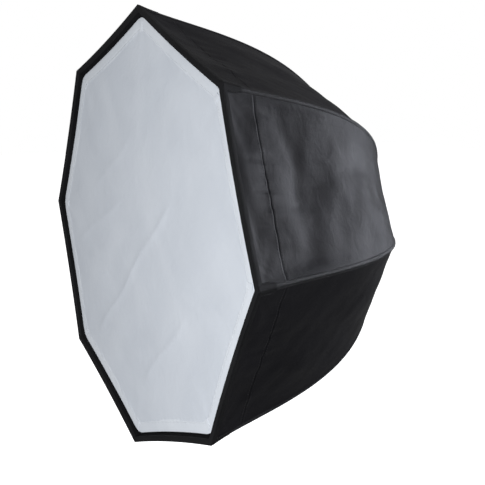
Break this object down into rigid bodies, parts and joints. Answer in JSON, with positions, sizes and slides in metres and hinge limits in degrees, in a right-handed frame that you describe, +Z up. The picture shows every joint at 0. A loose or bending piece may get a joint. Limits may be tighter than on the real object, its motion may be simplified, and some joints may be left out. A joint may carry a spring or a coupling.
{
  "type": "studio softbox",
  "caption": "Octagonal studio softbox with black cloth shell, recessed white diffuser, folding umbrella ribs, sliding runner and a rear bayonet speedring.",
  "frame": {"origin": "centre of the speedring's rear face, where the light fastens", "axes": "+Y along the optical axis towards the light, -Y towards the diffuser, +Z up through the top rib"},
  "size_m": [0.9498, 0.576, 0.9498],
  "materials": {
    "speedring": "satin black die casting",
    "hub_ring": "satin black die casting",
    "rear_collar_cloth": "black woven cloth, doubled and stitched",
    "stop_ring": "moulded black nylon",
    "rim_tape": "black woven binding tape",
    "diffuser_cloth": "white translucent woven cloth",
    "baffle_cloth": "white translucent woven cloth",
    "plated_steel": "zinc plated",
    "runner": "moulded black nylon",
    "spring_steel": "bright drawn wire",
    "rib_steel": "polished spring steel",
    "tip_cap": "moulded black plastic",
    "shell_cloth": "black coated woven polyester, silver inside",
    "strut": "black painted steel strip",
    "button": "moulded red plastic"
  },
  "bodies": {
    "hub": {"speedring": "speedring", "hub_ring": "hub_ring", "rear_collar": "rear_collar_cloth", "stop_ring": "stop_ring", "front_rim_band": "rim_tape", "front_diffuser": "diffuser_cloth", "inner_baffle": "baffle_cloth", "guide_post_1": "plated_steel", "guide_post_2": "plated_steel", "guide_post_3": "plated_steel", "guide_post_4": "plated_steel", "hub_pin_1": "plated_steel", "hub_pin_2": "plated_steel", "hub_pin_3": "plated_steel", "hub_pin_4": "plated_steel", "hub_pin_5": "plated_steel", "hub_pin_6": "plated_steel", "hub_pin_7": "plated_steel", "hub_pin_8": "plated_steel"},
    "runner": {"runner_ring": "runner", "runner_hinge_wire": "spring_steel", "button_spring_1": "spring_steel", "button_spring_2": "spring_steel"},
    "rib_1": {"rib_1": "rib_steel", "rib_tip_cap_1": "tip_cap", "shell_gore_1": "shell_cloth"},
    "rib_2": {"rib_2": "rib_steel", "rib_tip_cap_2": "tip_cap", "shell_gore_2": "shell_cloth"},
    "rib_3": {"rib_3": "rib_steel", "rib_tip_cap_3": "tip_cap", "shell_gore_3": "shell_cloth"},
    "rib_4": {"rib_4": "rib_steel", "rib_tip_cap_4": "tip_cap", "shell_gore_4": "shell_cloth"},
    "rib_5": {"rib_5": "rib_steel", "rib_tip_cap_5": "tip_cap", "shell_gore_5": "shell_cloth"},
    "rib_6": {"rib_6": "rib_steel", "rib_tip_cap_6": "tip_cap", "shell_gore_6": "shell_cloth"},
    "rib_7": {"rib_7": "rib_steel", "rib_tip_cap_7": "tip_cap", "shell_gore_7": "shell_cloth"},
    "rib_8": {"rib_8": "rib_steel", "rib_tip_cap_8": "tip_cap", "shell_gore_8": "shell_cloth"},
    "strut_1": {"strut_1": "strut"},
    "strut_2": {"strut_2": "strut"},
    "strut_3": {"strut_3": "strut"},
    "strut_4": {"strut_4": "strut"},
    "strut_5": {"strut_5": "strut"},
    "strut_6": {"strut_6": "strut"},
    "strut_7": {"strut_7": "strut"},
    "strut_8": {"strut_8": "strut"},
    "button_1": {"release_button_1": "button"},
    "button_2": {"release_button_2": "button"}
  },
  "joints": [
    {"name": "runner_slide", "type": "slide", "parent": "hub", "child": "runner", "axis": [0, -1, 0], "range_m": [0, 0.0412], "deforming": ["front_rim_band", "front_diffuser", "inner_baffle", "rear_collar"]},
    {"name": "rib_fold_1", "type": "hinge", "parent": "hub", "child": "rib_1", "pos_m": [0, -0.01646, 0.08057], "axis": [1, 0, 0], "range_deg": [0, 34.1], "deforming": ["shell_gore_1"]},
    {"name": "rib_fold_2", "type": "hinge", "parent": "hub", "child": "rib_2", "pos_m": [-0.05697, -0.01646, 0.05697], "axis": [0.7071, 0, 0.7071], "range_deg": [0, 34.1], "deforming": ["shell_gore_2"]},
    {"name": "rib_fold_3", "type": "hinge", "parent": "hub", "child": "rib_3", "pos_m": [-0.08057, -0.01646, 0], "axis": [0, 0, 1], "range_deg": [0, 34.1], "deforming": ["shell_gore_3"]},
    {"name": "rib_fold_4", "type": "hinge", "parent": "hub", "child": "rib_4", "pos_m": [-0.05697, -0.01646, -0.05697], "axis": [-0.7071, 0, 0.7071], "range_deg": [0, 34.1], "deforming": ["shell_gore_4"]},
    {"name": "rib_fold_5", "type": "hinge", "parent": "hub", "child": "rib_5", "pos_m": [0, -0.01646, -0.08057], "axis": [-1, 0, 0], "range_deg": [0, 34.1], "deforming": ["shell_gore_5"]},
    {"name": "rib_fold_6", "type": "hinge", "parent": "hub", "child": "rib_6", "pos_m": [0.05697, -0.01646, -0.05697], "axis": [-0.7071, 0, -0.7071], "range_deg": [0, 34.1], "deforming": ["shell_gore_6"]},
    {"name": "rib_fold_7", "type": "hinge", "parent": "hub", "child": "rib_7", "pos_m": [0.08057, -0.01646, 0], "axis": [0, 0, -1], "range_deg": [0, 34.1], "deforming": ["shell_gore_7"]},
    {"name": "rib_fold_8", "type": "hinge", "parent": "hub", "child": "rib_8", "pos_m": [0.05697, -0.01646, 0.05697], "axis": [0.7071, 0, -0.7071], "range_deg": [0, 34.1], "deforming": ["shell_gore_8"]},
    {"name": "strut_swing_1", "type": "hinge", "parent": "runner", "child": "strut_1", "pos_m": [0, -0.062, 0.08], "axis": [-1, 0, 0], "range_deg": [0, 22.66]},
    {"name": "strut_swing_2", "type": "hinge", "parent": "runner", "child": "strut_2", "pos_m": [-0.05657, -0.062, 0.05657], "axis": [-0.7071, 0, -0.7071], "range_deg": [0, 22.66]},
    {"name": "strut_swing_3", "type": "hinge", "parent": "runner", "child": "strut_3", "pos_m": [-0.08, -0.062, 0], "axis": [0, 0, -1], "range_deg": [0, 22.66]},
    {"name": "strut_swing_4", "type": "hinge", "parent": "runner", "child": "strut_4", "pos_m": [-0.05657, -0.062, -0.05657], "axis": [0.7071, 0, -0.7071], "range_deg": [0, 22.66]},
    {"name": "strut_swing_5", "type": "hinge", "parent": "runner", "child": "strut_5", "pos_m": [0, -0.062, -0.08], "axis": [1, 0, 0], "range_deg": [0, 22.66]},
    {"name": "strut_swing_6", "type": "hinge", "parent": "runner", "child": "strut_6", "pos_m": [0.05657, -0.062, -0.05657], "axis": [0.7071, 0, 0.7071], "range_deg": [0, 22.66]},
    {"name": "strut_swing_7", "type": "hinge", "parent": "runner", "child": "strut_7", "pos_m": [0.08, -0.062, 0], "axis": [0, 0, 1], "range_deg": [0, 22.66]},
    {"name": "strut_swing_8", "type": "hinge", "parent": "runner", "child": "strut_8", "pos_m": [0.05657, -0.062, 0.05657], "axis": [-0.7071, 0, 0.7071], "range_deg": [0, 22.66]},
    {"name": "button_press_1", "type": "slide", "parent": "runner", "child": "button_1", "axis": [-0.9239, 0, -0.3827], "range_m": [0, 0.0035], "stiffness_N_per_m": 400, "springref_m": -0.002, "deforming": ["button_spring_1"]},
    {"name": "button_press_2", "type": "slide", "parent": "runner", "child": "button_2", "axis": [0.9239, 0, 0.3827], "range_m": [0, 0.0035], "stiffness_N_per_m": 400, "springref_m": -0.002, "deforming": ["button_spring_2"]}
  ],
  "couplings": [
    {"joint": "rib_fold_1", "follows": "runner_slide", "rad_per_m": 14.403},
    {"joint": "rib_fold_2", "follows": "runner_slide", "rad_per_m": 14.403},
    {"joint": "rib_fold_3", "follows": "runner_slide", "rad_per_m": 14.403},
    {"joint": "rib_fold_4", "follows": "runner_slide", "rad_per_m": 14.403},
    {"joint": "rib_fold_5", "follows": "runner_slide", "rad_per_m": 14.403},
    {"joint": "rib_fold_6", "follows": "runner_slide", "rad_per_m": 14.403},
    {"joint": "rib_fold_7", "follows": "runner_slide", "rad_per_m": 14.403},
    {"joint": "rib_fold_8", "follows": "runner_slide", "rad_per_m": 14.403},
    {"joint": "strut_swing_1", "follows": "runner_slide", "rad_per_m": 9.557},
    {"joint": "strut_swing_2", "follows": "runner_slide", "rad_per_m": 9.557},
    {"joint": "strut_swing_3", "follows": "runner_slide", "rad_per_m": 9.557},
    {"joint": "strut_swing_4", "follows": "runner_slide", "rad_per_m": 9.557},
    {"joint": "strut_swing_5", "follows": "runner_slide", "rad_per_m": 9.557},
    {"joint": "strut_swing_6", "follows": "runner_slide", "rad_per_m": 9.557},
    {"joint": "strut_swing_7", "follows": "runner_slide", "rad_per_m": 9.557},
    {"joint": "strut_swing_8", "follows": "runner_slide", "rad_per_m": 9.557}
  ]
}
